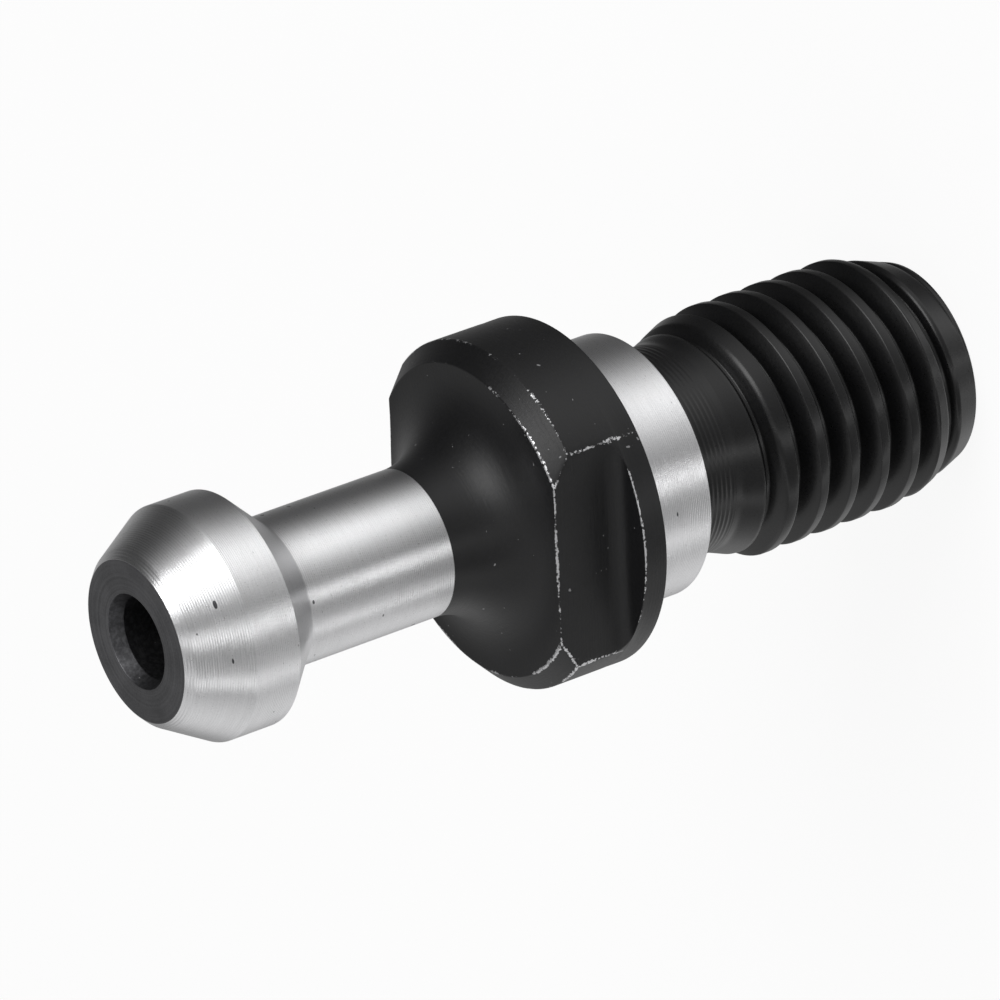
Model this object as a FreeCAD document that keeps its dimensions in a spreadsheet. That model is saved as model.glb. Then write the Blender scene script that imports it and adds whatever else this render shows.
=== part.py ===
"""Pull stud for a 30-taper tool holder: one piece, turned from bar, with a milled pair of flats.

The stud screws into the small end of the holder with its M12 thread and centres there on its
pilot.  The spindle's gripper closes round the neck and pulls on the 45 degree underside of the
head.  Coolant runs through the bore.

Frame: millimetres, +Z up towards the head, origin in the middle of the seat, which is the
flange's back face.  The wrench flats face -Y and +Y.
"""
import FreeCAD, Part
import math
import os
import re

import Sketcher

NODE = "pull_stud"

# name: (value, what it measures), in millimetres, and in degrees for the angles
SIZES = {
    # heights over the seat
    "grip_height": (18.0, "seat to the edge where the gripped underside of the head starts"),
    "head_height": (5.0, "that edge to the nose face"),
    "flange_height": (4.66, "seat to the flange's front face"),
    # depths under the seat
    "tail_length": (20.3, "seat to the lower end"),
    "pilot_length": (4.0, "seat to the end of the pilot"),
    "relief_length": (2.75, "straight stretch of the relief under the pilot"),
    # head and neck
    "nose_dia": (7.6, "flat of the nose face"),
    "nose_break": (0.35, "45 degree edge break round the nose face"),
    "nose_angle": (30.0, "nose cone, from the axis"),
    "head_dia": (11.0, "head"),
    "underside_angle": (45.0, "underside of the head, from the axis"),
    "underside_fillet": (0.3, "corner between underside and neck"),
    "neck_dia": (7.0, "neck"),
    # flange
    "neck_fillet": (3.6, "sweep from the neck out to the flange"),
    "flange_dia": (16.5, "flange"),
    "flange_bevel": (0.85, "45 degree bevel on the flange's front edge"),
    "flats_width": (12.7, "across the wrench flats, for a 13 mm spanner"),
    "flats_rim": (1.2, "full round left between the flats and the seat"),
    "flats_corner": (0.8, "corner radius where a flat meets the rim"),
    # coolant bore
    "bore_dia": (3.9, "coolant bore"),
    "sink_width": (0.275, "countersink's lip on the nose face, on the radius"),
    "sink_angle": (45.0, "included angle of the countersink"),
    # pilot and metric thread
    "thread_dia": (12.0, "nominal diameter of the thread"),
    "thread_pitch": (1.75, "advance in one turn"),
    "thread_angle": (60.0, "included angle of the groove"),
    "crest_gap": (0.1, "crests under the nominal thread, on the radius"),
    "groove_depth": (0.554, "groove's depth as a share of the pitch"),
    "root_flat": (0.165, "width of the groove's bottom as a share of the pitch"),
    "pilot_step": (0.25, "pilot over the nominal thread, on the radius"),
    "relief_depth": (0.9, "relief under the crests, on the radius"),
    "runout_angle": (21.0, "taper from the relief up to the first crest, from the axis"),
    "end_chamfer": (1.0, "45 degree chamfer on the lower end"),
    "cutter_entry": (0.786, "start of the groove under the lower end as a share of the pitch"),
}

# radii and heights that several features share, worked out from the sizes
NOSE_Z = "(grip_height + head_height)"
NECK_TOP_Z = "(grip_height - (head_dia - neck_dia) / 2 / tan(underside_angle * 1deg))"
CREST_R = "(thread_dia / 2 - crest_gap)"
RELIEF_R = "(thread_dia / 2 - crest_gap - relief_depth)"
PILOT_R = "(thread_dia / 2 + pilot_step)"
PILOT_END_Z = "(-1 * pilot_length)"
RUNOUT_Z = "(-1 * pilot_length - relief_length)"


def write_sizes(doc):
    """Put every size in the sheet, one row each: its name, its value and what it measures."""
    sheet = doc.addObject("Spreadsheet::Sheet", "sizes")
    for row, (name, (value, meaning)) in enumerate(SIZES.items(), start=1):
        sheet.set(f"A{row}", name)
        sheet.set(f"B{row}", str(value))
        sheet.set(f"C{row}", meaning)
        sheet.setAlias(f"B{row}", name)
    doc.recompute()
    return sheet


def size(expression):
    """The expression with each size's name pointing at its cell in the sheet."""
    return re.sub(r"[a-z_]+", lambda word: f"sizes.{word[0]}" if word[0] in SIZES else word[0], expression)


def origin_feature(body, role):
    """The body's own origin plane or axis with this role."""
    return next(item for item in body.Origin.OriginFeatures if item.Role == role)


def evaluate(item, expression):
    """The expression's present value, as a plain number, seen from an object of the document."""
    result = item.evalExpression(size(expression))
    return float(getattr(result, "Value", result))


class Outline:
    """A closed sketch outline whose corners are dimensioned from the origin by sheet expressions.

    A line along a sketch axis gets a horizontal or vertical constraint and one dimension, a
    sloped line gets both dimensions, and an arc gets its radius and the place of its end.
    """

    def __init__(self, body, name, role, x, y):
        self.sketch = body.newObject("Sketcher::SketchObject", name)
        self.sketch.AttachmentSupport = [(origin_feature(body, role), "")]
        self.sketch.MapMode = "FlatFace"
        self.start = (x, y)
        self.here = self.point(x, y)
        self.first = None
        self.last = None

    def point(self, x, y):
        """The sketch point at two expressions."""
        return FreeCAD.Vector(evaluate(self.sketch, x), evaluate(self.sketch, y), 0)

    def dimension(self, kind, expression, *ends):
        """Add a dimension and bind it to the sheet."""
        index = self.sketch.addConstraint(Sketcher.Constraint(kind, *ends, evaluate(self.sketch, expression)))
        self.sketch.setExpression(f"Constraints[{index}]", size(expression))

    def place(self, edge, end, x, y):
        """Dimension an edge's end from the origin (geometry -1, point 1) along the axes given."""
        if x is not None:
            self.dimension("DistanceX", x, -1, 1, edge, end)
        if y is not None:
            self.dimension("DistanceY", y, -1, 1, edge, end)

    def join(self, edge, end):
        """Tie a new edge's end to the edge before it, or place it if it is the first."""
        if self.last is None:
            self.first = (edge, end)
            self.place(edge, end, *self.start)
        else:
            self.sketch.addConstraint(Sketcher.Constraint("Coincident", *self.last, edge, end))

    def line(self, x=None, y=None):
        """Draw a line to x, to y or to both; a coordinate that is left out doesn't change."""
        target = FreeCAD.Vector(self.here)
        if x is not None:
            target.x = evaluate(self.sketch, x)
        if y is not None:
            target.y = evaluate(self.sketch, y)
        edge = self.sketch.addGeometry(Part.LineSegment(self.here, target), False)
        self.join(edge, 1)
        if y is None:
            self.sketch.addConstraint(Sketcher.Constraint("Horizontal", edge))
        if x is None:
            self.sketch.addConstraint(Sketcher.Constraint("Vertical", edge))
        self.place(edge, 2, x, y)
        self.here = target
        self.last = (edge, 2)

    def arc(self, radius, x, y):
        """Draw an anticlockwise arc of under half a turn, with the given radius, to x, y."""
        target = self.point(x, y)
        reach = evaluate(self.sketch, radius)
        chord = target - self.here
        inward = FreeCAD.Vector(-chord.y, chord.x, 0).normalize()
        sagitta_side = math.sqrt(reach ** 2 - (chord.Length / 2) ** 2)
        centre = self.here + chord / 2 + inward * sagitta_side
        begin, finish = (math.atan2(p.y - centre.y, p.x - centre.x) for p in (self.here, target))
        circle = Part.Circle(centre, FreeCAD.Vector(0, 0, 1), reach)
        edge = self.sketch.addGeometry(Part.ArcOfCircle(circle, begin, finish), False)
        self.join(edge, 1)
        self.dimension("Radius", radius, edge)
        self.place(edge, 2, x, y)
        self.here = target
        self.last = (edge, 2)

    def close(self):
        """Draw the last line, back to the first point."""
        target = self.point(*self.start)
        edge = self.sketch.addGeometry(Part.LineSegment(self.here, target), False)
        self.join(edge, 1)
        self.sketch.addConstraint(Sketcher.Constraint("Coincident", edge, 2, *self.first))
        return self.sketch


def ring_edge(shape, radius, height):
    """Name of the full circle of this radius and height about the Z axis."""
    for index, edge in enumerate(shape.Edges, start=1):
        if not isinstance(edge.Curve, Part.Circle) or not edge.isClosed():
            continue
        centre = edge.Curve.Center
        if math.hypot(centre.x, centre.y) > 1e-6 or abs(centre.z - height) > 1e-6:
            continue
        if abs(edge.Curve.Radius - radius) < 1e-6:
            return f"Edge{index}"
    raise ValueError(f"no ring of radius {radius} at height {height}")


def turn_blank(body):
    """The turned shape: half its section, from the nose down to the lower end, spun round Z."""
    outline = Outline(body, "TurnedSection", "XZ_Plane", "0", NOSE_Z)
    outline.line(x="nose_dia / 2")
    outline.line(x="nose_dia / 2 + nose_break", y=f"{NOSE_Z} - nose_break")
    cone_width = "((head_dia - nose_dia) / 2 - nose_break)"
    outline.line(x="head_dia / 2", y=f"{NOSE_Z} - nose_break - {cone_width} / tan(nose_angle * 1deg)")
    outline.line(y="grip_height")
    outline.line(x="neck_dia / 2", y=NECK_TOP_Z)
    outline.line(y="flange_height")
    outline.line(x="flange_dia / 2 - flange_bevel")
    outline.line(x="flange_dia / 2", y="flange_height - flange_bevel")
    outline.line(y="0")
    outline.line(x=PILOT_R)
    outline.line(y=PILOT_END_Z)
    outline.line(x=RELIEF_R)
    outline.line(y=RUNOUT_Z)
    outline.line(x=CREST_R, y=f"{RUNOUT_Z} - relief_depth / tan(runout_angle * 1deg)")
    outline.line(y="end_chamfer - tail_length")
    outline.line(x=f"{CREST_R} - end_chamfer", y="-1 * tail_length")
    outline.line(x="0")
    section = outline.close()

    blank = body.newObject("PartDesign::Revolution", "TurnedBlank")
    blank.Profile = section
    blank.ReferenceAxis = (section, ["V_Axis"])
    blank.Angle = 360
    body.Document.recompute()


def fillet_neck(body):
    """The small fillet under the head and the wide sweep from the neck out to the flange."""
    sweep = "min(neck_fillet; 0.98 * ((flange_dia - neck_dia) / 2 - flange_bevel))"
    corners = (
        ("UndersideFillet", "underside_fillet", NECK_TOP_Z),
        ("NeckFillet", sweep, "flange_height"),
    )
    for name, radius, height in corners:
        base = body.Tip
        ring = ring_edge(base.Shape, evaluate(body, "neck_dia / 2"), evaluate(body, height))
        fillet = body.newObject("PartDesign::Fillet", name)
        fillet.Base = (base, [ring])
        fillet.setExpression("Radius", size(radius))
        body.Document.recompute()


def drill_bore(body):
    """The coolant bore, drilled through from the nose face and countersunk there."""
    sketch = body.newObject("Sketcher::SketchObject", "BoreCentre")
    sketch.AttachmentSupport = [(origin_feature(body, "XY_Plane"), "")]
    sketch.MapMode = "FlatFace"
    sketch.setExpression("AttachmentOffset.Base.z", size(NOSE_Z))
    radius = evaluate(body, "bore_dia / 2")
    circle = sketch.addGeometry(Part.Circle(FreeCAD.Vector(), FreeCAD.Vector(0, 0, 1), radius), False)
    sketch.addConstraint(Sketcher.Constraint("Coincident", -1, 1, circle, 3))
    index = sketch.addConstraint(Sketcher.Constraint("Diameter", circle, 2 * radius))
    sketch.setExpression(f"Constraints[{index}]", size("bore_dia"))
    body.Document.recompute()

    bore = body.newObject("PartDesign::Hole", "CoolantBore")
    bore.Profile = sketch
    body.Document.recompute()
    bore.DepthType = "ThroughAll"
    bore.HoleCutType = "Countersink"
    bore.setExpression("Diameter", size("bore_dia"))
    bore.setExpression("HoleCutDiameter", size("bore_dia + 2 * sink_width"))
    bore.setExpression("HoleCutCountersinkAngle", size("sink_angle"))
    body.Document.recompute()


def mill_flats(body):
    """The pair of wrench flats, open to the front and ending at the rim with a rounded corner."""
    top = "flange_height + flats_corner"
    outline = Outline(body, "FlatSection", "YZ_Plane", "flats_width / -2", top)
    outline.line(x="-1 * flange_dia")
    outline.line(y="flats_rim")
    outline.line(x="flats_width / -2 - flats_corner")
    outline.arc("flats_corner", x="flats_width / -2", y="flats_rim + flats_corner")
    section = outline.close()
    body.Document.recompute()

    flat = body.newObject("PartDesign::Pocket", "WrenchFlat")
    flat.Profile = section
    flat.SideType = "Symmetric"
    flat.Type = "ThroughAll"
    body.Document.recompute()

    opposite = body.newObject("PartDesign::Mirrored", "OppositeFlat")
    opposite.Originals = [flat]
    opposite.MirrorPlane = (origin_feature(body, "XZ_Plane"), [""])
    body.Tip = opposite
    body.Document.recompute()


def cut_thread(body):
    """The right-hand thread: a V groove with a narrow floor, from the end up into the relief."""
    middle = "(-1 * tail_length - cutter_entry * thread_pitch)"
    root_r = f"({CREST_R} - groove_depth * thread_pitch)"
    root_half = "(root_flat * thread_pitch / 2)"
    outer_r = f"({CREST_R} + crest_gap / 2)"
    outer_half = f"({root_half} + ({outer_r} - {root_r}) * tan(thread_angle / 2 * 1deg))"
    outline = Outline(body, "GrooveSection", "XZ_Plane", outer_r, f"{middle} - {outer_half}")
    outline.line(y=f"{middle} + {outer_half}")
    outline.line(x=root_r, y=f"{middle} + {root_half}")
    outline.line(y=f"{middle} - {root_half}")
    section = outline.close()
    body.Document.recompute()

    groove = body.newObject("PartDesign::SubtractiveHelix", "ThreadGroove")
    groove.Profile = section
    groove.ReferenceAxis = (section, ["V_Axis"])
    groove.Mode = "pitch-height-angle"
    groove.setExpression("Pitch", size("thread_pitch"))
    groove.setExpression("Height", size(f"{RUNOUT_Z} - {middle}"))
    groove.Angle = 0
    groove.Growth = 0
    groove.LeftHanded = False
    groove.Reversed = False
    body.Document.recompute()


def check(doc, body):
    """Stop if an object of the document failed or the body isn't one sound solid."""
    for item in doc.Objects:
        if "Invalid" in item.State or "Error" in item.State:
            raise RuntimeError(f"{item.Name} failed: {item.State}")
    shape = body.Shape
    if shape.isNull() or not shape.isValid() or len(shape.Solids) != 1:
        raise RuntimeError(f"{body.Label} is not one sound solid")


def build():
    """Make the stud step by step, see that each cut takes material away, and write its STEP file."""
    doc = FreeCAD.newDocument("PullStud")
    write_sizes(doc)
    body = doc.addObject("PartDesign::Body", "PullStud")
    body.Label = NODE
    turn_blank(body)
    fillet_neck(body)
    for cut in (drill_bore, mill_flats, cut_thread):
        before = body.Tip.Shape.Volume
        cut(body)
        removed = before - body.Tip.Shape.Volume
        if removed <= 0:
            raise RuntimeError(f"{cut.__name__} removed nothing")
        print(f"{cut.__name__}: {removed:.1f} mm3 removed")
    check(doc, body)
    os.makedirs("parts", exist_ok=True)
    body.Shape.exportStep(f"parts/{NODE}.step")
    print(f"{NODE}: {body.Shape.Volume:.1f} mm3 in {len(body.Shape.Faces)} faces")


build()
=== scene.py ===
"""Looks of the pull stud: one turned and blackened steel piece, standing on its thread end.

The stud is a closed shell of courses.  A course is one ring of points round the axis, and the
courses run from the nose down the outside to the lower end and back up through the bore, so the
shell has no pole and no open edge.  Each sub-assembly lays its own courses and says which finish
they carry.  Lengths inside the classes are millimetres; the mesh is written in metres.
"""

import logging
import math
from dataclasses import dataclass, field
from enum import Enum
from typing import Any, Sequence

import bmesh
import bpy
import numpy as np
from mathutils import Matrix, Vector
from numpy.typing import NDArray


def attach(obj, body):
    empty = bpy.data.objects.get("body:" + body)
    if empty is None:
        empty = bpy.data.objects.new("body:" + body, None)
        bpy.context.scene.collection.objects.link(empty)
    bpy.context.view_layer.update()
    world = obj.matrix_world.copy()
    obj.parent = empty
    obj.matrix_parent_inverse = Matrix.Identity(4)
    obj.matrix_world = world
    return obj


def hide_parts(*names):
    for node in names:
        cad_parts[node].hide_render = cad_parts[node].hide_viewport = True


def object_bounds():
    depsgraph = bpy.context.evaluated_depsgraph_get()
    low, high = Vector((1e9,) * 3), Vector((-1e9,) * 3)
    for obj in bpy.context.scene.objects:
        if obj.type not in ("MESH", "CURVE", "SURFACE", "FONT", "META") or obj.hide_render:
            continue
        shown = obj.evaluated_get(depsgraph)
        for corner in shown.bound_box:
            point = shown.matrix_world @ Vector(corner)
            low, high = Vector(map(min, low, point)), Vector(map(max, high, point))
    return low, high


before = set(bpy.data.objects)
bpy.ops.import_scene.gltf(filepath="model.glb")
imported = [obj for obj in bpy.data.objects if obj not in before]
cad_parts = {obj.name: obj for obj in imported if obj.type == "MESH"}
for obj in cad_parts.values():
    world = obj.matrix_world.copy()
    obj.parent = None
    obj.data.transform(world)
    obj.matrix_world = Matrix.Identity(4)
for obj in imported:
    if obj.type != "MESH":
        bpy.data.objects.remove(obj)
CAD_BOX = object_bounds()

Array = NDArray[np.float64]
Colour = tuple[float, float, float]
MM = 0.001
PIECE = "pull_stud_dressed"
WELD = 2e-8  # vertices closer than this, in metres, are one
MOST_SHARE = 0.4  # an edge's rounding takes at most this share of a band
GUARD_REACH = 1.8  # how far out the guard rings stand, in soft lengths
BEND_AT = (0.35, 0.65)  # where the rounding's curve has its points
log = logging.getLogger("pull_stud")


class Finish(Enum):
    """The finishes of the stud, in the order of the mesh's material slots."""

    FACE = 0
    BRIGHT = 1
    BLACK = 2
    THREAD = 3
    BORE = 4


# --------------------------------------------------------------------------------------------
# Courses and the shell
# --------------------------------------------------------------------------------------------


@dataclass(frozen=True)
class Columns:
    """Where the columns of points stand round the axis.

    The columns are evenly spread, with one more on each side of the four places where the edges
    of the wrench flats run, so that these edges can be followed closely.
    """

    step: float = 2.0
    edge: float = 40.0
    beside: float = 0.4

    def even(self) -> Array:
        """Angles of the columns in radians, from 0 to a full turn, both included."""
        spread = np.arange(0.0, 360.0 + self.step / 2, self.step)
        edges = np.array([90.0, 270.0])[:, None] + np.array([-self.edge, self.edge])
        extra = (edges[..., None] + np.array([-self.beside, self.beside])).ravel()
        return np.radians(np.sort(np.concatenate([spread, extra])))

    def warped(self, edge: float) -> tuple[Array, Array]:
        """Slide the columns so that the ones at the flats' edges stand at another angle.

        An angle is measured from the middle of the nearer flat.  It is stretched in a straight
        line from 0 to the edge and from the edge to 90 degrees, and kept as it is right beside
        the edge.

        Args:
            edge: angle of the flat's edge from the flat's middle, in degrees.

        Returns:
            The columns' angles, and each one's angle from the nearer flat's middle, in radians.
        """
        angles = np.degrees(self.even())
        middle = np.where(angles < 180.0, 90.0, 270.0)
        side = angles - middle
        old = [0.0, self.edge - self.beside, self.edge + self.beside, 90.0]
        new = [0.0, edge - self.beside, edge + self.beside, 90.0]
        slid = np.sign(side) * np.interp(np.abs(side), old, new)
        return np.radians(middle + slid), np.radians(slid)


COLUMNS = Columns()


@dataclass
class Course:
    """One ring of points, and how the shell goes on from it.

    Args:
        points: the ring's points, one row per column, in millimetres.
        finish: the finish of the band that follows.
        soft: length over which the edge at this ring is rounded, 0 where there is no edge.
        steps: number of bands up to the next course.
    """

    points: Array
    finish: Finish
    soft: float = 0.0
    steps: int = 1


def ring(radius: Array | float, height: Array | float, angles: Array | None = None) -> Array:
    """Points at a radius and height for each column: x = r cos a, y = r sin a, z = height."""
    turn = COLUMNS.even() if angles is None else angles
    x, y = radius * np.cos(turn), radius * np.sin(turn)
    return np.stack([x, y, np.broadcast_to(np.asarray(height, float), turn.shape)], axis=-1)


def towards(start: Array, end: Array, reach: float) -> Array:
    """Points a given way from start to end, at most 0.4 of the way; start where both coincide."""
    way = end - start
    length = np.linalg.norm(way, axis=-1, keepdims=True)
    share = np.minimum(reach / np.maximum(length, 1e-9), MOST_SHARE)
    return start + way * np.where(length > 1e-7, share, 0.0)


@dataclass
class Shell:
    """The closed skin of the stud, gathered course by course."""

    courses: list[Course] = field(default_factory=list)

    def lay(self, points: Array, finish: Finish, soft: float = 0.0, steps: int = 1) -> None:
        """Add one course."""
        self.courses.append(Course(points, finish, soft, steps))

    def rows(self) -> tuple[Array, list[Finish]]:
        """All rings with their edges rounded.

        At a rounded edge the ring P is replaced by five: two points A and B lie on the bands
        before and after it, a soft length away; between them runs the curve A(1-s)^2 +
        2Ps(1-s) + Bs^2; and one more ring just outside A and B keeps the bands' shading flat.

        Returns:
            The rings as one array (ring, column, xyz), and the finish of the band after each.
        """
        rings, finishes = [], []
        count = len(self.courses)
        for index, course in enumerate(self.courses):
            here = course.points
            before = self.courses[index - 1]
            after = self.courses[(index + 1) % count]
            start = [here]
            if course.soft > 0:
                back = before.points + (here - before.points) * (1 - 1 / before.steps)
                ahead = here + (after.points - here) / course.steps
                wider = course.soft * GUARD_REACH
                a, b = (towards(here, end, course.soft) for end in (back, ahead))
                outer_a, outer_b = (towards(here, end, wider) for end in (back, ahead))
                bend = [a * (1 - s) ** 2 + 2 * here * s * (1 - s) + b * s ** 2 for s in BEND_AT]
                rings += [outer_a, a, bend[0]]
                finishes += [before.finish, before.finish, course.finish]
                start = [bend[1], b, outer_b]
            shares = np.arange(1, course.steps) / course.steps
            between = [here + (after.points - here) * share for share in shares]
            rings += start + between
            finishes += [course.finish] * (len(start) + len(between))
        return np.stack(rings), finishes

    def mesh(self, name: str) -> bpy.types.Mesh:
        """Weave the rings into one closed mesh of outward faces and merge what coincides.

        The vertex of ring i and column j is number i * columns + j.  A face joins (i, j),
        (i + 1, j), (i + 1, j + 1) and (i, j + 1), and the ring after the last is the first.
        """
        points, finishes = self.rows()
        rings, columns = points.shape[:2]
        row = np.arange(rings)[:, None]
        column = np.arange(columns - 1)[None, :]
        below = (row + 1) % rings
        corners = [row * columns + column, below * columns + column,
                   below * columns + column + 1, row * columns + column + 1]
        faces = np.stack(np.broadcast_arrays(*corners), axis=-1).reshape(-1, 4)
        mesh = bpy.data.meshes.new(name)
        mesh.from_pydata((points.reshape(-1, 3) * MM).tolist(), [], faces.tolist())
        slots = np.repeat([finish.value for finish in finishes], columns - 1)
        mesh.polygons.foreach_set("material_index", slots.astype(np.int32))
        weld = bmesh.new()
        weld.from_mesh(mesh)
        bmesh.ops.remove_doubles(weld, verts=weld.verts, dist=WELD)
        bmesh.ops.recalc_face_normals(weld, faces=weld.faces)
        weld.to_mesh(mesh)
        weld.free()
        mesh.polygons.foreach_set("use_smooth", np.ones(len(mesh.polygons), bool))
        mesh.update()
        return mesh


# --------------------------------------------------------------------------------------------
# Sub-assemblies
# --------------------------------------------------------------------------------------------


@dataclass(frozen=True)
class Head:
    """The gripped head: nose face, cone, gripped cylinder and underside, down to the neck."""

    top: float = 23.0
    face_inner: float = 2.225
    face_radius: float = 3.8
    edge_break: float = 0.35
    cone_angle: float = 30.0
    radius: float = 5.5
    grip_edge: float = 18.0
    underside_fillet: float = 0.3
    neck_radius: float = 3.5

    def lay(self, shell: Shell) -> None:
        """Lay the courses from the countersink's lip to the start of the neck."""
        cone_top = self.face_radius + self.edge_break
        cone_height = (self.radius - cone_top) / math.tan(math.radians(self.cone_angle))
        cone_foot = self.top - self.edge_break - cone_height
        shell.lay(ring(self.face_inner, self.top), Finish.FACE, soft=0.03, steps=4)
        shell.lay(ring(self.face_radius, self.top), Finish.BRIGHT, soft=0.04)
        shell.lay(ring(cone_top, self.top - self.edge_break), Finish.BRIGHT, soft=0.04, steps=6)
        shell.lay(ring(self.radius, cone_foot), Finish.BRIGHT, soft=0.05, steps=5)
        shell.lay(ring(self.radius, self.grip_edge), Finish.BRIGHT, soft=0.06, steps=3)
        self.lay_fillet(shell)

    def lay_fillet(self, shell: Shell) -> None:
        """Round the corner between the 45 degree underside and the neck.

        The arc's centre stands one fillet radius outside the neck.  Its points are centre
        minus the radius times (cos t, sin t), with t from -45 degrees to 0 turned to the neck.
        """
        corner = self.grip_edge - (self.radius - self.neck_radius)
        centre_r = self.neck_radius + self.underside_fillet
        centre_z = corner - self.underside_fillet * math.tan(math.radians(22.5))
        for turn in np.radians([45.0, 30.0, 15.0]):
            at = ring(centre_r - self.underside_fillet * math.cos(turn),
                      centre_z + self.underside_fillet * math.sin(turn))
            shell.lay(at, Finish.BRIGHT)
        shell.lay(ring(self.neck_radius, centre_z), Finish.BRIGHT, steps=8)


@dataclass(frozen=True)
class Flange:
    """The blackened flange with its sweep from the neck, its bevel and its two wrench flats."""

    neck_radius: float = 3.5
    front: float = 4.66
    sweep: float = 3.6
    bevel: float = 0.85
    radius: float = 8.25
    across: float = 12.7
    rim: float = 1.2
    corner: float = 0.8
    seat_inner: float = 6.25
    seat_band: float = 0.45
    blend: float = 0.012
    sweep_courses: int = 24

    def edge_angle(self, distance: float, radius: float) -> float:
        """Angle from a flat's middle to where a plane at this distance leaves the radius."""
        return math.degrees(math.acos(distance / radius))

    def outline(self, side: Array, edge: float, distance: float, radius: float) -> Array:
        """Radius of the milled outline: the smaller of the round and the flat, softly joined.

        With t = radius - distance / cos(side), the outline is radius - (t + sqrt(t^2 + 4 b^2)) / 2
        near the flat, and exactly the round beyond its edge.

        Args:
            side: each column's angle from the nearer flat's middle, in radians.
            edge: the flat's edge, in degrees.
            distance: the flat's distance from the axis.
            radius: the round's radius.

        Returns:
            The radius at each column.
        """
        gap = radius - distance / np.cos(side)
        joined = radius - (gap + np.sqrt(gap ** 2 + 4 * self.blend ** 2)) / 2
        beyond = np.abs(np.degrees(side)) > edge + COLUMNS.beside * 1.01
        return np.where(beyond, radius, joined)

    def front_profile(self, travel: Array) -> tuple[Array, Array]:
        """Radius and height along the front, by the way travelled inwards from the bevel.

        The first stretch is the flat land; after it the sweep turns by travel / sweep radius.
        """
        land_outer = self.radius - self.bevel
        arc_outer = self.neck_radius + self.sweep
        turn = np.clip((travel - (land_outer - arc_outer)) / self.sweep, 0, math.pi / 2)
        radius = np.where(turn > 0, arc_outer - self.sweep * np.sin(turn), land_outer - travel)
        return radius, self.front + self.sweep * (1 - np.cos(turn))

    def travel_at(self, radius: Array) -> Array:
        """The way from the bevel inwards to a radius, the reverse of front_profile."""
        land_outer = self.radius - self.bevel
        arc_outer = self.neck_radius + self.sweep
        turn = np.arcsin(np.clip((arc_outer - radius) / self.sweep, 0, 1))
        return np.where(turn > 0, land_outer - arc_outer + self.sweep * turn, land_outer - radius)

    def lay(self, shell: Shell) -> None:
        """Lay the courses from the neck's end to the inner edge of the seat."""
        self.lay_front(shell)
        self.lay_side(shell)
        self.lay_rim(shell)

    def lay_front(self, shell: Shell) -> None:
        """Lay the sweep and the land, from the neck out to the milled front edge."""
        land_outer = self.radius - self.bevel
        edge = self.edge_angle(self.across / 2, land_outer)
        angles, side = COLUMNS.warped(edge)
        start = self.travel_at(self.outline(side, edge, self.across / 2, land_outer))
        end = land_outer - (self.neck_radius + self.sweep) + self.sweep * math.pi / 2
        for share in np.linspace(0.0, 1.0, self.sweep_courses + 1)[:-1]:
            near_edge = share ** 2 * (3 - 2 * share)
            turn = COLUMNS.even() * (1 - near_edge) + angles * near_edge
            radius, height = self.front_profile(end + (start - end) * share)
            shell.lay(ring(radius, height, turn), Finish.BLACK)
        radius, height = self.front_profile(start)
        shell.lay(ring(radius, height, angles), Finish.BLACK, soft=0.05, steps=3)

    def lay_side(self, shell: Shell) -> None:
        """Lay the bevel, the flats down to their corner arc, and the wall at the rim."""
        flat = self.across / 2
        edge = self.edge_angle(flat, self.radius)
        angles, side = COLUMNS.warped(edge)
        full = self.outline(side, edge, flat, self.radius)
        shell.lay(ring(full, self.front - self.bevel, angles), Finish.BLACK, soft=0.05, steps=4)
        for turn in np.radians([0.0, 18.0, 36.0, 54.0, 72.0, 90.0]):
            away = flat + self.corner * (1 - math.cos(turn))
            height = self.rim + self.corner * (1 - math.sin(turn))
            edge = self.edge_angle(away, self.radius)
            angles, side = COLUMNS.warped(edge)
            inner = self.outline(side, edge, away, self.radius)
            shell.lay(ring(inner, height, angles), Finish.BLACK, steps=2 if turn == 0 else 1)
        shell.lay(ring((inner + self.radius) / 2, self.rim, angles), Finish.BLACK)
        shell.lay(ring(self.radius, self.rim, angles), Finish.BLACK, soft=0.04, steps=2)

    def lay_rim(self, shell: Shell) -> None:
        """Lay the full round under the flats and the ground seat."""
        shell.lay(ring(self.radius, self.seat_band), Finish.BLACK)
        shell.lay(ring(self.radius, 0.0), Finish.BRIGHT, soft=0.06, steps=3)
        shell.lay(ring(self.seat_inner, 0.0), Finish.BRIGHT, steps=3)


@dataclass(frozen=True)
class Pilot:
    """The ground pilot under the seat and the turned relief below it."""

    radius: float = 6.25
    length: float = 4.0
    relief_radius: float = 5.0
    relief_end: float = -6.35
    ridge_pitch: float = 0.25
    ridge_steps: int = 5
    first_ridge: float = 0.05
    ridge_depth: float = 0.030

    def lay(self, shell: Shell) -> None:
        """Lay the pilot, its end face and the ridged relief.

        The relief's radius is the plain radius less depth * |sin(pi * way / pitch)|, which is a
        row of rounded grooves with narrow ridges, as a pointed tool leaves them.
        """
        shell.lay(ring(self.radius, -self.length), Finish.BLACK, soft=0.06, steps=2)
        shell.lay(ring(self.relief_radius, -self.length), Finish.THREAD)
        reach = -self.length - self.relief_end
        way = np.arange(self.first_ridge, reach, self.ridge_pitch / self.ridge_steps)
        groove = self.ridge_depth * np.abs(np.sin(math.pi * way / self.ridge_pitch))
        for down, depth in zip(way, groove):
            shell.lay(ring(self.relief_radius - depth, -self.length - down), Finish.THREAD)


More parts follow.
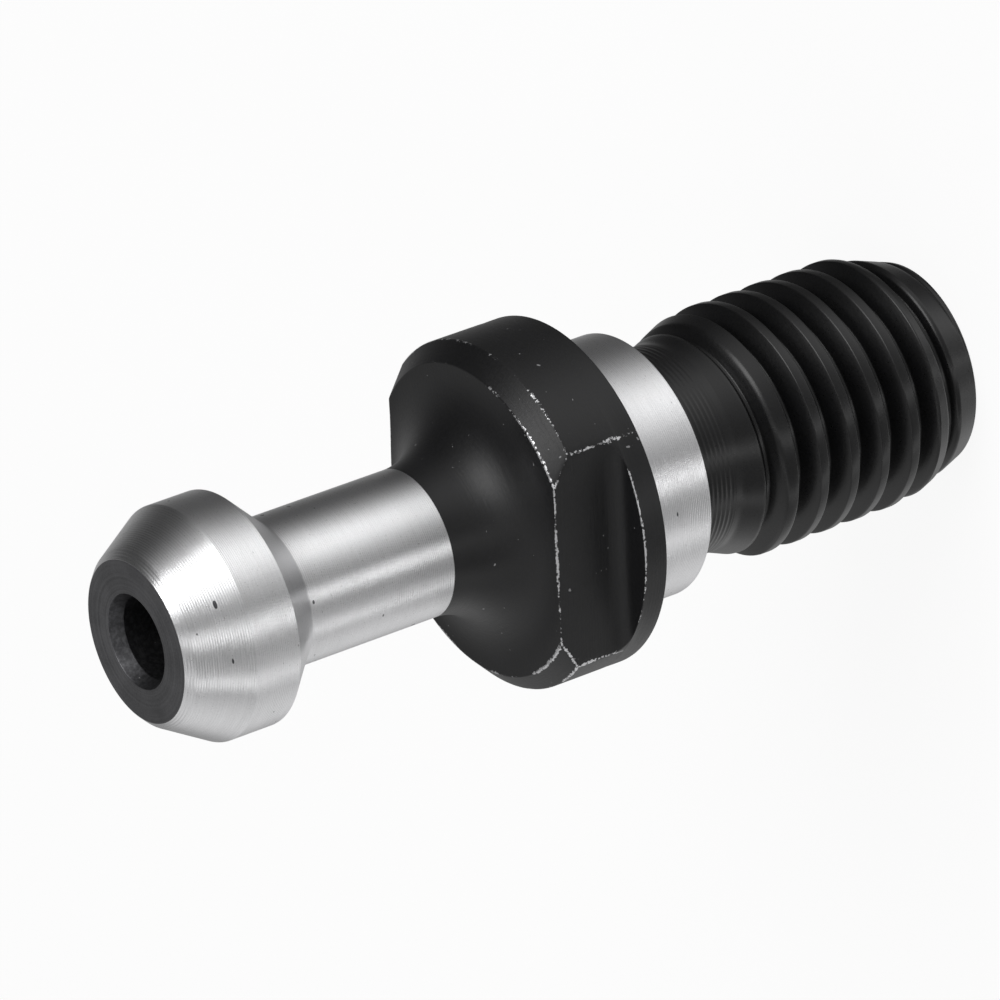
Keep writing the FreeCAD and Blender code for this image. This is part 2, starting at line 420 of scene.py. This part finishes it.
@dataclass(frozen=True)
class Thread:
    """The right-hand metric thread, from its run-out at the relief to the lower end.

    Its rows follow the helix: along a row the height grows by one pitch in a turn, and is held
    between the block's two ends, so that the rows gather in the plain rings there.  The lower of
    these rings stands a little above the end, where the blank is narrower than the root.
    """

    pitch: float = 1.75
    crest: float = 5.9
    root: float = 4.93
    root_round: float = 0.16
    flank_angle: float = 60.0
    groove_middle: float = -21.6755
    relief_radius: float = 5.0
    top: float = -6.35
    runout: float = -6.75
    runout_angle: float = 21.0
    fade_lead: float = 0.1
    fade_lift: float = 0.2
    end: float = -20.3
    last_ring: float = -20.25
    lead_in: float = 1.0
    lead_in_angle: float = 18.5

    def groove_offsets(self) -> tuple[Array, Array]:
        """One pitch of the thread's section: offset from the groove's middle, and radius.

        The groove's bottom is an arc that runs into two flanks at 60 degrees to the axis, and
        the crest's corners are rounded in three short steps.

        Returns:
            Offsets from -pitch / 2 to pitch / 2 along the axis, and the radius at each.
        """
        slope = math.tan(math.radians(self.flank_angle))
        arc = np.radians(np.linspace(0, self.flank_angle, 5))
        bottom = self.root_round * np.sin(arc)
        bottom_r = self.root + self.root_round * (1 - np.cos(arc))
        reach = bottom[-1] + (self.crest - bottom_r[-1]) / slope
        flank = np.linspace(0, 1, 5)[1:-1]
        flank_off = bottom[-1] + (reach - bottom[-1]) * flank
        flank_r = bottom_r[-1] + (self.crest - bottom_r[-1]) * flank
        corner_off = reach + np.array([-0.035, -0.012, 0.018, 0.05])
        corner_r = self.crest - np.array([0.061, 0.026, 0.006, 0.0])
        half = np.concatenate([bottom, flank_off, corner_off, [self.pitch / 2]])
        half_r = np.concatenate([bottom_r, flank_r, corner_r, [self.crest]])
        offsets = np.concatenate([-half[::-1], half[1:-1]])
        return offsets, np.concatenate([half_r[::-1], half_r[1:-1]])

    def envelope(self, height: Array) -> Array:
        """Radius of the turned blank: relief, taper up to the crests, and lead-in cone."""
        rise, fall = (math.tan(math.radians(a)) for a in (self.runout_angle, self.lead_in_angle))
        taper = self.relief_radius + (self.runout - height) * rise
        cone = self.crest - self.lead_in + (height - self.end) * fall
        return np.minimum(np.clip(taper, self.relief_radius, self.crest), cone)

    def lay(self, shell: Shell) -> None:
        """Lay the helical rows from the relief down to the lower end.

        A row with start height h has the height h + pitch * angle / (2 pi), and the radius of
        the section there, but no more than the blank's.  Above the run-out the groove fades.
        """
        offsets, radii = self.groove_offsets()
        turn = COLUMNS.even()
        lead = self.pitch * turn / (2 * math.pi)
        turns = np.arange(-2, math.ceil((self.top - self.groove_middle) / self.pitch) + 1)
        starts = (self.groove_middle + turns[:, None] * self.pitch + offsets).ravel()
        depths = np.tile(radii, len(turns))
        order = np.argsort(-starts)
        starts, depths = starts[order], depths[order]
        used = (starts < self.top) & (starts + self.pitch > self.last_ring)
        shell.lay(ring(self.relief_radius, self.top), Finish.THREAD)
        for start, depth in zip(starts[used], depths[used]):
            height = np.clip(start + lead, self.last_ring, self.top)
            above = height - self.runout + self.fade_lead
            fade = np.clip(above / (self.top - self.runout - self.fade_lead), 0, 1)
            radius = np.minimum(depth + fade * self.fade_lift, self.envelope(height))
            shell.lay(ring(radius, height), Finish.THREAD)
        last = np.full_like(turn, self.last_ring)
        shell.lay(ring(self.envelope(last), last), Finish.THREAD)
        shell.lay(ring(self.crest - self.lead_in, self.end), Finish.THREAD, soft=0.04, steps=4)


@dataclass(frozen=True)
class Bore:
    """The coolant bore with its countersink at the nose."""

    radius: float = 1.95
    end: float = -20.3
    sink_foot: float = 22.336

    def lay(self, shell: Shell) -> None:
        """Lay the courses from the lower end up to the countersink."""
        shell.lay(ring(self.radius, self.end), Finish.BORE, soft=0.05, steps=6)
        shell.lay(ring(self.radius, self.sink_foot), Finish.BORE, soft=0.02)


# --------------------------------------------------------------------------------------------
# Shader maths
# --------------------------------------------------------------------------------------------

Value = Any


@dataclass(frozen=True)
class Term:
    """A number or colour that the shader works out, used with Python's operators."""

    graph: "Graph"
    socket: bpy.types.NodeSocket

    def _math(self, operation: str, *values: Value) -> "Term":
        """One Math node."""
        return self.graph.add("ShaderNodeMath", {"operation": operation}, dict(enumerate(values)))

    def __add__(self, other: Value) -> "Term":
        """self + other."""
        return self._math("ADD", self, other)

    __radd__ = __add__

    def __sub__(self, other: Value) -> "Term":
        """self - other."""
        return self._math("SUBTRACT", self, other)

    def __rsub__(self, other: Value) -> "Term":
        """other - self."""
        return self._math("SUBTRACT", other, self)

    def __mul__(self, other: Value) -> "Term":
        """self * other."""
        return self._math("MULTIPLY", self, other)

    __rmul__ = __mul__

    def __truediv__(self, other: Value) -> "Term":
        """self / other."""
        return self._math("DIVIDE", self, other)

    def __abs__(self) -> "Term":
        """The size without its sign."""
        return self._math("ABSOLUTE", self)

    def root(self) -> "Term":
        """Square root."""
        return self._math("SQRT", self)

    def sine(self) -> "Term":
        """Sine of radians."""
        return self._math("SINE", self)

    def part(self) -> "Term":
        """What is left over the whole number."""
        return self._math("FRACT", self)

    def power_of_e(self) -> "Term":
        """e to this power."""
        return self._math("EXPONENT", self)

    def bearing(self, x: "Term") -> "Term":
        """Angle of the point (x, self) round the axis, in radians."""
        return self._math("ARCTAN2", self, x)

    def least(self, other: Value) -> "Term":
        """The smaller of the two."""
        return self._math("MINIMUM", self, other)

    def most(self, other: Value) -> "Term":
        """The larger of the two."""
        return self._math("MAXIMUM", self, other)

    def ease(self, low: float, high: float) -> "Term":
        """0 below low, 1 above high and a smooth rise between; low may be above high."""
        settings = {"interpolation_type": "SMOOTHSTEP"}
        if low < high:
            return self.graph.add("ShaderNodeMapRange", settings, {0: self, 1: low, 2: high})
        return 1 - self.graph.add("ShaderNodeMapRange", settings, {0: self, 1: high, 2: low})


class Graph:
    """The nodes of one material or world."""

    def __init__(self, tree: bpy.types.NodeTree) -> None:
        """Start from an empty tree."""
        self.tree = tree
        tree.nodes.clear()

    def add(self, kind: str, settings: dict[str, Any] | None = None,
            inputs: dict[int | str, Value] | None = None, output: int | str = 0) -> Term:
        """Add a node, set it up and link it.

        Args:
            kind: the node's type.
            settings: its properties, set before its sockets are filled.
            inputs: a value, or a Term to link, for each input socket by number or name.
            output: number or name of the output that is wanted.

        Returns:
            That output.
        """
        node = self.tree.nodes.new(kind)
        for key, value in (settings or {}).items():
            setattr(node, key, value)
        for key, value in (inputs or {}).items():
            if isinstance(value, Term):
                self.tree.links.new(value.socket, node.inputs[key])
            elif value is not None:
                node.inputs[key].default_value = value
        return Term(self, node.outputs[output]) if len(node.outputs) else Term(self, None)

    def colour(self, share: Value, low: Value, high: Value) -> Term:
        """Mix two colours: low where share is 0, high where it is 1."""
        low, high = (value if isinstance(value, Term) else (*value, 1.0) for value in (low, high))
        settings = {"data_type": "RGBA", "clamp_factor": True}
        return self.add("ShaderNodeMix", settings, {0: share, 6: low, 7: high}, 2)

    def vector(self, x: Value, y: Value, z: Value) -> Term:
        """A vector from its three parts."""
        return self.add("ShaderNodeCombineXYZ", {}, {0: x, 1: y, 2: z})

    def noise(self, place: Term, scale: float, detail: float = 2.0, rough: float = 0.5) -> Term:
        """Soft random values around 0.5, in three dimensions."""
        inputs = {"Vector": place, "Scale": scale, "Detail": detail, "Roughness": rough}
        return self.add("ShaderNodeTexNoise", {"noise_dimensions": "3D"}, inputs)


class Place:
    """Where a point of the stud is, in millimetres and round the axis."""

    def __init__(self, graph: Graph) -> None:
        """Read Object coordinates and work out the radius and the bearing."""
        self.graph = graph
        at = graph.add("ShaderNodeTexCoord", {}, {}, "Object")
        inputs = {0: at, "Scale": 1 / MM}
        self.point = graph.add("ShaderNodeVectorMath", {"operation": "SCALE"}, inputs)
        split = [graph.add("ShaderNodeSeparateXYZ", {}, {0: self.point}, axis) for axis in range(3)]
        self.x, self.y, self.z = split
        self.radius = (self.x * self.x + self.y * self.y).root()
        self.turn = self.y.bearing(self.x)

    def stretched(self, round_way: float, along: float) -> Term:
        """Coordinates for marks that run round the axis: slow sideways and quick along it."""
        return self.graph.vector(self.x * round_way, self.y * round_way, self.z * along)


@dataclass(frozen=True)
class Metal:
    """What every finish of the stud shares: the shader's own even values."""

    name: str
    base: Colour
    roughness: float = 0.35
    anisotropic: float = 0.0
    ior: float = 1.5

    def start(self) -> tuple[bpy.types.Material, Graph]:
        """A new material with an empty graph."""
        material = bpy.data.materials.new(self.name)
        material.use_nodes = True
        return material, Graph(material.node_tree)

    def tone(self, factor: float) -> Colour:
        """The base colour, lighter or darker by a factor."""
        return tuple(channel * factor for channel in self.base)

    def close(self, graph: Graph, colour: Value, roughness: Value, metallic: Value, height: Term,
              depth: float) -> None:
        """Add the shader, with a bump of the given depth in millimetres for a height of 1."""
        relief = {"Strength": 1.0, "Distance": depth * MM, "Height": height}
        bump = graph.add("ShaderNodeBump", {}, relief)
        inputs = {
            "Base Color": colour if isinstance(colour, Term) else (*colour, 1.0),
            "Roughness": roughness,
            "Metallic": metallic,
            "IOR": self.ior,
            "Anisotropic": self.anisotropic,
            "Anisotropic Rotation": 0.25 if self.anisotropic else 0.0,
            "Normal": bump,
        }
        shader = graph.add("ShaderNodeBsdfPrincipled", {}, inputs)
        graph.add("ShaderNodeOutputMaterial", {}, {"Surface": shader})


@dataclass(frozen=True)
class TurnedSteel(Metal):
    """Bright steel straight from the lathe, with its tool marks."""

    ridge_pitch: float = 0.10
    ridge_depth: float = 0.010
    line_rate: float = 24.0
    grain_rate: float = 16.0
    dark: float = 0.86
    pit_from: float = 0.83
    pit_full: float = 0.86
    pit: Colour = (0.08, 0.08, 0.085)

    def material(self) -> bpy.types.Material:
        """Tool ridges along the axis, broken up by slow noise, with fine grain between them."""
        material, graph = self.start()
        at = Place(graph)
        drift = graph.noise(at.stretched(0.25, 0.9), 1.0, 1.0)
        wave = (at.z * (2 * math.pi / self.ridge_pitch) + drift * 2.0).sine() * 0.5 + 0.5
        lines = graph.noise(at.stretched(0.35, self.line_rate), 1.0, 3.0, 0.65)
        grain = graph.noise(at.point, self.grain_rate, 2.0, 0.6)
        strength = graph.noise(at.stretched(0.3, 0.35), 1.0, 1.0).ease(0.35, 0.65)
        height = wave * (0.45 + strength * 0.55) + lines * 0.9 + grain * 0.35
        tone = lines * 0.5 + grain * 0.5
        colour = graph.colour(tone.ease(0.3, 0.7), self.tone(self.dark), self.base)
        pits = graph.noise(at.stretched(1.6, 4.5), 1.0, 0.0).ease(self.pit_from, self.pit_full)
        colour = graph.colour(pits, colour, self.pit)
        self.close(graph, colour, self.roughness + grain * 0.08, 1.0, height, self.ridge_depth)
        return material


@dataclass(frozen=True)
class FacedSteel(Metal):
    """The dark, faced nose with ring marks."""

    ring_rate: float = 9.0
    dark: float = 0.7
    light: float = 1.35

    def material(self) -> bpy.types.Material:
        """Rings round the bore, and a mottled film."""
        material, graph = self.start()
        at = Place(graph)
        across = graph.vector(at.radius * self.ring_rate, at.turn.sine() * 0.3, at.z)
        rings = graph.noise(across, 1.0, 3.0, 0.6)
        grain = graph.noise(at.point, 9.0, 3.0, 0.6)
        patch = graph.noise(at.point, 0.8, 2.0)
        tone = rings * 0.45 + grain * 0.35 + patch * 0.3
        colour = graph.colour(tone.ease(0.35, 0.75), self.tone(self.dark), self.tone(self.light))
        self.close(graph, colour, self.roughness + grain * 0.1, 1.0, rings + grain * 0.5, 0.006)
        return material


@dataclass(frozen=True)
class BlackOxide(Metal):
    """Blackened steel of the flange, worn to bright specks along its edges."""

    worn: Colour = (0.55, 0.55, 0.56)
    radius: float = 8.25
    flat: float = 6.35
    front: float = 4.66
    bevel: float = 0.85
    rim: float = 1.2
    wall_end: float = 7.2
    wall_full: float = 6.9
    wall_off: float = 2.0
    dark: float = 0.8
    light: float = 1.25

    def edge_gap(self, at: Place) -> Term:
        """Distance to the nearest edge of the flange, in millimetres.

        Each face has a plane or a cylinder; the edge of two faces is as far away as the root of
        the sum of the squares of the distances to both.  The wall at the rim counts only beside
        the flats, and is put out of reach elsewhere.
        """
        side = abs(self.radius - at.radius)
        flat = abs(self.flat - abs(at.y))
        slope = abs((self.radius - self.bevel + self.front - at.radius - at.z) * math.sqrt(0.5))
        front = abs(self.front - at.z)
        beyond = abs(at.y).ease(self.wall_end, self.wall_full)
        wall = abs(self.rim - at.z) + beyond * self.wall_off
        pairs = ((side, flat), (side, slope), (flat, slope), (flat, front), (slope, front),
                 (side, wall))
        gaps = [(one * one + other * other).root() for one, other in pairs]
        nearest = gaps[0]
        for gap in gaps[1:]:
            nearest = nearest.least(gap)
        return nearest

    def material(self) -> bpy.types.Material:
        """A satin black film with turning marks, and wear where edges have rubbed."""
        material, graph = self.start()
        at = Place(graph)
        lines = graph.noise(at.stretched(0.5, 11.0), 1.0, 3.0, 0.6)
        grain = graph.noise(at.point, 7.0, 3.0, 0.6)
        patch = graph.noise(at.point, 0.35, 2.0)
        speck = graph.noise(at.point, 6.5, 2.0, 0.7)
        gap = self.edge_gap(at)
        near = gap.ease(0.16, 0.01)
        rubbed = near * 0.34 + speck * patch.ease(0.3, 0.6) * 0.5 + speck * 0.25
        wear = rubbed.ease(0.60, 0.70) * near.ease(0.02, 0.2)
        loose = graph.noise(at.point, 3.4, 1.0, 0.6).ease(0.76, 0.80)
        shade = (grain * 0.5 + patch * 0.5).ease(0.3, 0.7)
        colour = graph.colour(shade, self.tone(self.dark), self.tone(self.light))
        colour = graph.colour((wear + loose * 0.3).least(1.0), colour, self.worn)
        rough = self.roughness + grain * 0.12
        self.close(graph, colour, rough, wear, lines + grain * 0.6 - wear * 0.3, 0.008)
        return material


@dataclass(frozen=True)
class BlackThread(Metal):
    """Blackened steel of the relief and the thread, with rubbed crests."""

    worn: Colour = (0.42, 0.42, 0.43)
    pitch: float = 1.75
    groove_middle: float = -21.6755
    crest: float = 5.9
    dark: float = 0.8
    light: float = 1.25

    def material(self) -> bpy.types.Material:
        """A satin black film, worn in a broken line along each crest."""
        material, graph = self.start()
        at = Place(graph)
        lead = at.turn * (self.pitch / (2 * math.pi))
        phase = ((at.z - self.groove_middle - lead) / self.pitch + 20.5).part()
        off = (phase - 0.5) * self.pitch
        top = at.radius.ease(self.crest - 0.10, self.crest - 0.01)
        speck = graph.noise(at.point, 5.0, 3.0, 0.7)
        patch = graph.noise(at.point, 0.5, 2.0)
        edge = abs(off - 0.12).ease(0.16, 0.02)
        wear = (speck * 0.7 + patch * 0.5 + edge * 0.12).ease(0.68, 0.80) * top * edge
        grain = graph.noise(at.point, 7.0, 3.0, 0.6)
        lines = graph.noise(at.stretched(0.5, 8.0), 1.0, 2.0, 0.6)
        shade = (grain * 0.5 + patch * 0.5).ease(0.3, 0.7)
        colour = graph.colour(shade, self.tone(self.dark), self.tone(self.light))
        colour = graph.colour(wear, colour, self.worn)
        height = lines * 0.6 + grain * 0.4
        self.close(graph, colour, self.roughness + grain * 0.1, wear, height, 0.005)
        return material


@dataclass(frozen=True)
class BoreSteel(Metal):
    """The drilled wall of the bore."""

    dark: float = 0.6
    painted_glint: Colour = (0.5, 0.5, 0.5)

    def material(self) -> bpy.types.Material:
        """Dark drilled steel with rings from the drill, and a few bright specks of painted glint.
        """
        material, graph = self.start()
        at = Place(graph)
        rings = graph.noise(at.stretched(0.4, 6.0), 1.0, 3.0, 0.6)
        grain = graph.noise(at.point, 5.0, 2.0, 0.6)
        colour = graph.colour(grain.ease(0.35, 0.7), self.tone(self.dark), self.base)
        # Painted highlights: a few bright specks in the colour stand in for glints of light in the
        # bore.
        colour = graph.colour(grain.ease(0.74, 0.80), colour, self.painted_glint)
        self.close(graph, colour, self.roughness + grain * 0.1, 1.0, rings + grain * 0.3, 0.01)
        return material


# --------------------------------------------------------------------------------------------
# The stud
# --------------------------------------------------------------------------------------------


@dataclass
class PullStud:
    """The whole stud, from its sub-assemblies and finishes."""

    head: Head = field(default_factory=Head)
    flange: Flange = field(default_factory=Flange)
    pilot: Pilot = field(default_factory=Pilot)
    thread: Thread = field(default_factory=Thread)
    bore: Bore = field(default_factory=Bore)

    def finishes(self) -> dict[Finish, Metal]:
        """The metal of each finish."""
        return {
            Finish.FACE: FacedSteel(
                "faced_steel", (0.115, 0.115, 0.12), roughness=0.36, anisotropic=0.6),
            Finish.BRIGHT: TurnedSteel(
                "turned_steel", (0.68, 0.68, 0.69), roughness=0.25, anisotropic=0.95),
            Finish.BLACK: BlackOxide(
                "black_oxide", (0.0045, 0.0045, 0.0050), roughness=0.34, ior=1.38),
            Finish.THREAD: BlackThread(
                "black_thread", (0.0030, 0.0030, 0.0033), roughness=0.24, ior=1.40),
            Finish.BORE: BoreSteel("bore_steel", (0.10, 0.10, 0.105), roughness=0.4),
        }

    def build(self) -> bpy.types.Object:
        """Lay every course, weave the mesh and dress it.

        Returns:
            The finished object, riding on the root body in place of the CAD node.
        """
        shell = Shell()
        for section in (self.head, self.flange, self.pilot, self.thread, self.bore):
            before = len(shell.courses)
            section.lay(shell)
            log.info("%s: %d courses", type(section).__name__, len(shell.courses) - before)
        mesh = shell.mesh(PIECE)
        finishes = self.finishes()
        for finish in Finish:
            mesh.materials.append(finishes[finish].material())
        piece = bpy.data.objects.new(PIECE, mesh)
        bpy.context.scene.collection.objects.link(piece)
        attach(piece, "root")
        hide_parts("pull_stud")
        return piece


# --------------------------------------------------------------------------------------------
# Studio
# --------------------------------------------------------------------------------------------


@dataclass(frozen=True)
class LightBand:
    """A soft upright band of light in the room, as a studio's panels and walls give.

    Args:
        bearing: direction from the stud, in degrees from +X towards +Y.
        spread: how far from its middle the band has faded, in degrees.
        level: its brightness.
    """

    bearing: float
    spread: float
    level: float


@dataclass(frozen=True)
class Studio:
    """Pale floor, soft light all round, and the camera."""

    floor_size: float = 3.0
    floor_colour: Colour = (0.86, 0.86, 0.86)
    floor_gap: float = 1e-5
    floor_shown: float = 0.9
    azimuth: float = 30.42249
    elevation: float = 30.74776
    roll: float = 109.72056
    distance: float = 0.405
    aim: Colour = (-0.00023864, 0.00133289, 0.00228323)
    lens: float = 322.3026
    sensor: float = 36.0
    near: float = 0.05
    far: float = 10.0
    ambient: float = 0.05
    low_glow: float = 0.06
    glow_from: float = 0.15
    glow_full: float = -0.25
    lamp_size: float = 0.35
    lamp_power: float = 1.6
    lamp_bearing: float = -12.5
    lamp_rise: float = 48.0
    lamp_distance: float = 0.6
    bands: Sequence[LightBand] = (
        LightBand(-11.0, 21.0, 1.30),
        LightBand(-55.0, 24.0, 0.30),
        LightBand(-84.5, 3.0, 2.8),
        LightBand(-108.0, 12.0, 0.32),
        LightBand(-134.5, 3.0, 1.9),
        LightBand(-165.0, 22.0, 0.62),
        LightBand(165.0, 16.0, 0.55),
        LightBand(112.0, 16.0, 0.40),
    )

    def build_floor(self) -> None:
        """A plain pale floor under the stud.

        It is white to the camera, with a share of its real shading so that the stud's shadow
        stays, and can't be seen from underneath.
        """
        mesh = bpy.data.meshes.new("floor")
        half, low = self.floor_size / 2, CAD_BOX[0].z - self.floor_gap
        corners = [(-half, -half, low), (half, -half, low), (half, half, low), (-half, half, low)]
        mesh.from_pydata(corners, [], [(0, 1, 2, 3)])
        floor = bpy.data.objects.new("floor", mesh)
        bpy.context.scene.collection.objects.link(floor)
        material = bpy.data.materials.new("pale_floor")
        material.use_nodes = True
        graph = Graph(material.node_tree)
        kinds = ("Is Camera Ray", "Is Glossy Ray", "Is Transmission Ray")
        seen, mirrored, passed = (graph.add("ShaderNodeLightPath", {}, {}, kind) for kind in kinds)
        shown = (seen + mirrored + passed).least(1.0) * self.floor_shown
        matt = graph.add("ShaderNodeBsdfDiffuse", {}, {"Color": (*self.floor_colour, 1.0)})
        glow = {"Color": (1.0, 1.0, 1.0, 1.0), "Strength": 1.0}
        white = graph.add("ShaderNodeEmission", {}, glow)
        mixed = graph.add("ShaderNodeMixShader", {}, {0: shown, 1: matt, 2: white})
        clear = graph.add("ShaderNodeBsdfTransparent")
        under = graph.add("ShaderNodeNewGeometry", {}, {}, "Backfacing")
        both = graph.add("ShaderNodeMixShader", {}, {0: under, 1: mixed, 2: clear})
        graph.add("ShaderNodeOutputMaterial", {}, {"Surface": both})
        mesh.materials.append(material)
        floor.visible_glossy = False

    def build_room(self) -> None:
        """The room's soft light: bands of brightness by bearing, and plain white to the camera.

        A band at bearing b gives level * exp((cos(bearing - b) - 1) / spread^2), spread in
        radians.  Below the horizon the pale floor adds an even glow.
        """
        world = bpy.data.worlds.new("studio")
        bpy.context.scene.world = world
        world.use_nodes = True
        graph = Graph(world.node_tree)
        way = graph.add("ShaderNodeTexCoord", {}, {}, "Generated")
        x, y, z = (graph.add("ShaderNodeSeparateXYZ", {}, {0: way}, axis) for axis in range(3))
        flat = (x * x + y * y).root().most(1e-4)
        level = z.ease(self.glow_from, self.glow_full) * self.low_glow + self.ambient
        for band in self.bands:
            turn = math.radians(band.bearing)
            along = (x * math.cos(turn) + y * math.sin(turn)) / flat
            fall = (along - 1) * (1 / math.radians(band.spread) ** 2)
            level = level + fall.power_of_e() * band.level
        seen = graph.add("ShaderNodeLightPath", {}, {}, "Is Camera Ray")
        level = level + seen * (1 - level)
        inputs = {"Color": (1.0, 1.0, 1.0, 1.0), "Strength": level}
        back = graph.add("ShaderNodeBackground", {}, inputs)
        graph.add("ShaderNodeOutputWorld", {}, {"Surface": back})

    def build_lamp(self) -> None:
        """One large soft lamp above the brightest band."""
        data = bpy.data.lights.new("soft_lamp", "AREA")
        data.shape = "RECTANGLE"
        data.size, data.size_y = self.lamp_size, self.lamp_size
        data.energy = self.lamp_power
        lamp = bpy.data.objects.new("soft_lamp", data)
        bpy.context.scene.collection.objects.link(lamp)
        turn, rise = math.radians(self.lamp_bearing), math.radians(self.lamp_rise)
        level = math.cos(rise)
        way = Vector((math.cos(turn) * level, math.sin(turn) * level, math.sin(rise)))
        spot = way * self.lamp_distance
        lamp.location = spot
        lamp.rotation_euler = (-spot).to_track_quat("-Z", "Y").to_euler()
        lamp.visible_camera = False

    def build_camera(self) -> None:
        """The camera, from its bearing, height, roll and distance to the point it aims at."""
        data = bpy.data.cameras.new("camera")
        data.lens, data.sensor_width = self.lens, self.sensor
        data.clip_start, data.clip_end = self.near, self.far
        camera = bpy.data.objects.new("camera", data)
        bpy.context.scene.collection.objects.link(camera)
        turn, rise = math.radians(self.azimuth), math.radians(self.elevation)
        flat = math.cos(rise)
        back = Vector((math.sin(turn) * flat, -math.cos(turn) * flat, math.sin(rise)))
        level = (-back).to_track_quat("-Z", "Y").to_matrix()
        camera.matrix_world = Matrix.Translation(Vector(self.aim) + back * self.distance) @ (
            level @ Matrix.Rotation(-math.radians(self.roll), 3, "Z")).to_4x4()
        bpy.context.scene.camera = camera

    def build(self) -> None:
        """Set up the floor, the light and the camera."""
        self.build_floor()
        self.build_room()
        self.build_lamp()
        self.build_camera()
        bpy.context.scene.view_settings.view_transform = "Standard"


def main() -> None:
    """Build the stud and its studio, and report each piece."""
    logging.basicConfig(level=logging.INFO, format="%(name)s: %(message)s")
    piece = PullStud().build()
    mesh = piece.data
    log.info("%s: %d faces, %d vertices", piece.name, len(mesh.polygons), len(mesh.vertices))
    Studio().build()


if __name__ == "__main__":
    main()
